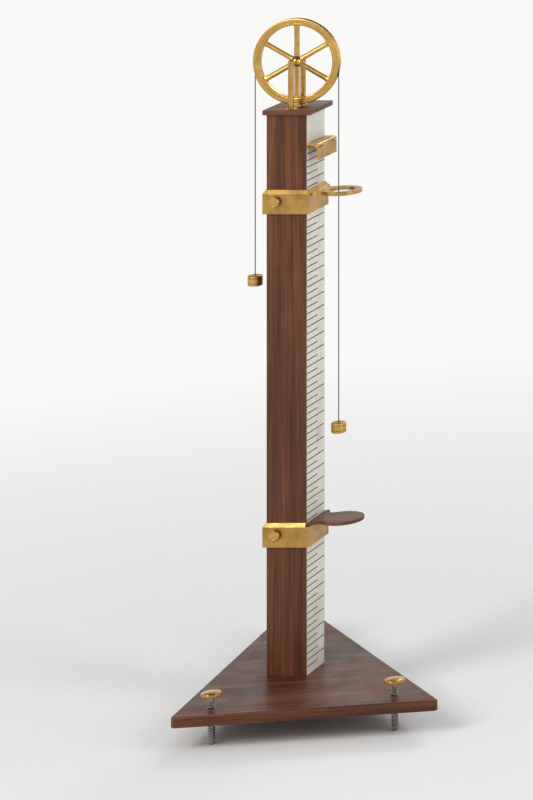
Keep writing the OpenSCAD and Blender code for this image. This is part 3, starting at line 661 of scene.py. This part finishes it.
def thumbscrew(name, node, body):
    """A knurled head on a shank that goes into the collar."""
    head_depth = 7.55
    low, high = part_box(node)
    face_y = low[1] + head_depth * MM
    tip = -(high[1] - face_y) / MM
    place = centre(node)
    shape = lathe([
        (0, tip), (2.2, tip), (2.5, tip + 0.3), (2.5, 0.05), (4.5, 0.05), (4.5, 1.0), (4.1, 1.55), (7.2, 1.55),
        (7.9, 1.9), (8.22, 2.5), (8.22, 6.4), (7.9, 7.0), (7.2, 7.5), (5.6, 7.55), (5.3, 7.3), (4.9, 7.25),
        (0, 7.4),
    ], 192, knurled=(9, 10), depth=0.4)
    turned_piece(name, shape, (place.x, face_y, place.z), body, turned_brass, node, ACROSS)


def weight(side):
    """A hanging weight, with two turned lines and the bore and seat for the cord and its knot."""
    node = side + "_weight"
    low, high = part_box(node)
    place = centre(node)
    r = (high[0] - low[0]) / 2 / MM
    h = (high[2] - low[2]) / MM
    shape = lathe([
        (2.35, 0), (r - 1.6, 0), (r - 0.6, 0.4), (r - 0.15, 1.0), (r, 1.8), (r, 3.2), (r - 0.5, 3.5),
        (r - 0.5, 3.9), (r, 4.2), (r, h - 4.2), (r - 0.5, h - 3.9), (r - 0.5, h - 3.5), (r, h - 3.2),
        (r, h - 1.8), (r - 0.15, h - 1.0), (r - 0.6, h - 0.4), (r - 1.6, h), (r * 0.55, h), (r * 0.52, h - 0.25),
        (2.8, h - 0.25), (1.6, h - 0.45), (1.2, h - 0.9), (1.2, 3.65), (2.35, 3.65),
    ], 72)
    turned_piece(side + "_brass_weight", shape, (place.x, place.y, low[2]), side + "_hanging_weight",
                 weight_brass, node)


def knot(side):
    """A small overhand knot, wound from the cord itself."""
    steps, sides = 72, 10
    cord_r = 0.66 * MM  # pulled tight
    node = side + "_knot"
    place = centre(node)
    path = []
    for i in range(steps):
        t = 2 * math.pi * i / steps
        path.append(place + Vector((
            (math.sin(t) + 2 * math.sin(2 * t)) * 0.40,
            (math.cos(t) - 2 * math.cos(2 * t)) * 0.40,
            -math.sin(3 * t) * 0.85)) * MM)
    points = tube(path, lambda row, angle, run: cord_r, sides, closed=True)
    outward(mesh_piece("tied_" + node, points, grid_faces(steps, sides, closed=True), side + "_hanging_weight",
                       silk, node))


SLOT_WIDTH = 0.9
SLOT_CUT = 1.6  # the cutter's height, half of it in the head


def slotted(name, node, spots, head_r, head_h, shank_r, length, down):
    """Countersunk screws with a slot across the head, in millimetres. down is -1 for a head that faces up."""
    points, faces = lathe([
        (0, 0), (head_r - 0.1, 0), (head_r, 0.12), (shank_r, head_h), (shank_r, length - 3), (0, length),
    ], 40)
    points = [Vector((p.x, p.y, p.z * down)) for p in points]
    points, faces = joined(*(([p + Vector(spot) for p in points], faces) for spot in spots))
    piece = mesh_piece(name, points, faces, "stand", plain_steel, node)
    outward(piece)
    for i, spot in enumerate(spots):
        bpy.ops.mesh.primitive_cube_add(size=1, location=spot)
        cutter = bpy.context.object
        cutter.scale = (2.4 * head_r * MM, SLOT_WIDTH * MM, SLOT_CUT * MM)
        cutter.rotation_euler = (0, 0, math.radians(35 + 70 * i))  # each screw stopped at another angle
        cut = piece.modifiers.new("slot", "BOOLEAN")
        cut.object = cutter
        cut.solver = "EXACT"
        bpy.context.view_layer.objects.active = piece
        bpy.ops.object.modifier_apply(modifier="slot")
        bpy.data.objects.remove(cutter)


for side in ("left", "right", "rear"):
    levelling_set(side)
for side in ("left", "right"):
    weight(side)
    knot(side)
wheel_rim()
wheel_spokes()
wheel_hub()
wheel_axle()
axle_keepers()
thumbscrew("ring_screw", "upper_thumbscrew", "ring_thumbscrew")
thumbscrew("catch_screw", "lower_thumbscrew", "catch_thumbscrew")
foot_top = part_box("fork_foot")[1][2]
board_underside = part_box("base_board")[0][2]
slotted("fork_screw_pair", "fork_screws", [(axle.x, axle.y + s * 11 * MM, foot_top) for s in (-1, 1)],
        head_r=3.5, head_h=1.8, shank_r=1.75, length=22, down=-1)
slotted("foot_screw_pair", "foot_screws", [(column_x + s * 12 * MM, column_y, board_underside) for s in (-1, 1)],
        head_r=5.0, head_h=3.0, shank_r=2.5, length=46, down=1)


# ---------------------------------------------------------------- pieces with eased edges

ROUNDING = 1  # the material index of the rounding's faces, until their normals are set
ONE_FACE = math.cos(math.radians(20))  # flat faces that bend less than this belong together
FLAT_BEND = math.radians(0.5)
EDGE_BEND = math.radians(25)
WELD = 0.002 * MM


def settle_normals(mesh):
    """Flat faces stay flat, and the rounding turns from one face to the next."""
    facing = [face.normal.copy() for face in mesh.polygons]
    rounding = [face.material_index == ROUNDING for face in mesh.polygons]
    around = [[] for _ in mesh.vertices]
    for face in mesh.polygons:
        for corner in face.vertices:
            around[corner].append(face.index)

    def corner_normal(index, corner):
        kept = [i for i in around[corner] if not rounding[i]]
        if rounding[index] and kept:
            return corner_normal(max(kept, key=lambda i: facing[i].dot(facing[index])), corner)
        group = around[corner] if rounding[index] else [i for i in kept if facing[i].dot(facing[index]) > ONE_FACE]
        total = sum((facing[i] for i in group), Vector())
        return total.normalized() if total.length > 0.1 else facing[index]

    mesh.normals_split_custom_set([corner_normal(face.index, corner) for face in mesh.polygons
                                   for corner in face.vertices])


# Edges that stay sharp, by their midpoint: the ring's plate beside its seat, and the lower collar's top, where the
# disc's seat ends a hair above the bevel.
RING_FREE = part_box("upper_collar")[1][0] + 2 * MM
SEAT_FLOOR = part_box("catch_platform")[0][2] - 0.5 * MM
STAYS_SHARP = {"ring_platform": lambda mid: mid.x < RING_FREE, "lower_collar": lambda mid: mid.z > SEAT_FLOOR}


def eased(name, node, body, width, shortest):
    """A sawn or filed piece: the CAD's own mesh, its sharp edges rounded over. The rounding's width and the shortest
    edge that gets one are in millimetres."""
    shape = bmesh.new()
    shape.from_mesh(nodes[node].data)
    bmesh.ops.remove_doubles(shape, verts=shape.verts, dist=WELD)
    bmesh.ops.dissolve_limit(shape, angle_limit=FLAT_BEND, verts=shape.verts, edges=shape.edges)
    weight = shape.edges.layers.float.new("bevel_weight_edge")
    sharp = STAYS_SHARP.get(node, lambda mid: False)
    for edge in shape.edges:
        long = edge.calc_length() > shortest * MM and not sharp((edge.verts[0].co + edge.verts[1].co) / 2)
        edge[weight] = float(long and len(edge.link_faces) == 2 and edge.calc_face_angle() > EDGE_BEND)
    bare = bpy.data.meshes.new(name + "_bare")
    shape.to_mesh(bare)
    shape.free()
    # The second material slot is there only to tell the rounding's faces from the flat ones
    bare.materials.append(CARRIED[node])
    bare.materials.append(CARRIED[node])
    bare.polygons.foreach_set("material_index", [0] * len(bare.polygons))
    bare.shade_smooth()
    work = bpy.data.objects.new(name + "_work", bare)
    scene.collection.objects.link(work)
    rounding = work.modifiers.new("rounding", "BEVEL")
    rounding.width = width * MM
    rounding.segments = 2
    rounding.limit_method = "WEIGHT"
    rounding.use_clamp_overlap = False
    rounding.material = ROUNDING
    view = bpy.context.evaluated_depsgraph_get()
    mesh = bpy.data.meshes.new_from_object(work.evaluated_get(view))
    bpy.data.objects.remove(work)
    settle_normals(mesh)
    mesh.polygons.foreach_set("material_index", [0] * len(mesh.polygons))
    mesh.materials.clear()
    mesh.materials.append(CARRIED[node])
    piece = bpy.data.objects.new(name, mesh)
    scene.collection.objects.link(piece)
    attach(piece, body)
    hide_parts(node)


for name, node, body, slot, width, shortest in (
        ("planed_board", "base_board", "stand", "stained_wood", 0.9, 2.0),
        ("planed_column", "column", "stand", "stained_wood", 0.4, 0.6),
        ("planed_cap", "cap_board", "stand", "stained_wood", 0.8, 1.2),
        ("filed_upper_collar", "upper_collar", "ring_slider", "aged_brass", 0.25, 0.4),
        ("filed_lower_collar", "lower_collar", "catch_slider", "aged_brass", 0.25, 0.4),
        ("filed_ring", "ring_platform", "ring_slider", "aged_brass", 0.5, 1.15),
        ("sanded_catch", "catch_platform", "catch_slider", "stained_wood", 0.8, 1.2),
        ("filed_shelf", "shelf_plate", "stand", "aged_brass", 0.3, 0.45),
        ("filed_leaf", "drop_leaf", "leaf", "aged_brass", 0.3, 0.45),
        ("filed_fork_foot", "fork_foot", "stand", "lacquered_brass", 0.4, 0.6),
        ("turned_bushes", "levelling_bushes", "stand", "aged_brass", 0.25, 0.38),
        ("turned_front_bush", "front_bearing_bush", "stand", "lacquered_brass", 0.2, 0.3),
        ("turned_rear_bush", "rear_bearing_bush", "stand", "lacquered_brass", 0.2, 0.3)):
    eased(name, node, body, width, shortest)


# ---------------------------------------------------------------- stage and light

BACKDROP = (0.955, 0.95, 0.935)
CEILING = (0.12, 0.115, 0.11)
FILL = (0.93, 0.95, 1.0)
FILL_STRENGTH = 0.42
FLOOR_RADIUS = 9
FLOOR_FADE = (0.5, 2.2)  # from here to here the floor goes over into the backdrop
WALL_FADE = (0.30, 0.72)


def make_stage():
    bpy.ops.mesh.primitive_circle_add(vertices=96, radius=FLOOR_RADIUS, fill_type="NGON", location=(0, 0, 0))
    floor = bpy.context.object
    floor.name = "floor"
    t = new_material("floor")
    ray = t.add("LightPath").outputs
    seen = t.math("MAXIMUM", ray["Is Camera Ray"],
                  t.math("MAXIMUM", ray["Is Glossy Ray"], ray["Is Transmission Ray"]))
    far = t.add("VectorMath", {"operation": "LENGTH"}, i0=t.coords((1, 1, 1))).outputs["Value"]
    fade = t.add("MapRange", Value=far, From_Min=FLOOR_FADE[0], From_Max=FLOOR_FADE[1])
    grain = t.noise(t.coords((60, 60, 60)))
    paper = t.ramp(grain, [(0.3, (0.885, 0.88, 0.865)), (0.7, (0.905, 0.90, 0.885))])
    matt = t.add("BsdfDiffuse", Color=paper)
    glow = t.add("Emission", Color=(*BACKDROP, 1), Strength=1.0)
    both = t.add("MixShader", i0=t.math("MULTIPLY", fade.outputs[0], seen), i1=matt.outputs[0], i2=glow.outputs[0])
    t.add("OutputMaterial", Surface=both.outputs[0])
    floor.data.materials.append(t.owner)


def make_world():
    """A soft fill light. The camera and reflections see pale walls all round and a dark ceiling high above them."""
    scene.world = bpy.data.worlds.new("studio")
    t = Tree(scene.world)
    ray = t.add("LightPath").outputs
    seen = t.math("MAXIMUM", t.math("MAXIMUM", ray["Is Glossy Ray"], ray["Is Transmission Ray"]),
                  ray["Is Camera Ray"])
    fill = t.add("Background", Color=(*FILL, 1), Strength=FILL_STRENGTH)
    way = t.add("SeparateXYZ", i0=t.add("TexCoord").outputs["Generated"])
    up = t.add("MapRange", {"interpolation_type": "SMOOTHSTEP"}, Value=way.outputs["Z"],
               From_Min=WALL_FADE[0], From_Max=WALL_FADE[1])
    shown = t.add("Background", Color=t.mix(up.outputs["Result"], BACKDROP, CEILING), Strength=1.0)
    both = t.add("MixShader", i0=seen, i1=fill.outputs[0], i2=shown.outputs[0])
    t.add("OutputWorld", Surface=both.outputs[0])


def area_lamp(name, place, target, size, power, colour):
    data = bpy.data.lights.new(name, "AREA")
    data.shape = "RECTANGLE"
    data.size, data.size_y = size
    data.energy = power
    data.color = colour
    lamp = bpy.data.objects.new(name, data)
    lamp.location = place
    lamp.rotation_euler = (Vector(target) - Vector(place)).to_track_quat("-Z", "Y").to_euler()
    scene.collection.objects.link(lamp)


make_stage()
make_world()
area_lamp("key", place=(-1.5, -2.6, 2.4), target=(0, 0, 0.5), size=(1.4, 1.8), power=62, colour=(1.0, 0.97, 0.92))
area_lamp("side", place=(2.8, -1.2, 1.6), target=(0, 0, 0.5), size=(1.0, 2.0), power=34, colour=(0.95, 0.97, 1.0))
area_lamp("back", place=(0.3, 2.6, 2.6), target=(0, 0, 0.6), size=(1.6, 1.2), power=26, colour=(1.0, 1.0, 1.0))
scene.view_settings.view_transform = "Standard"
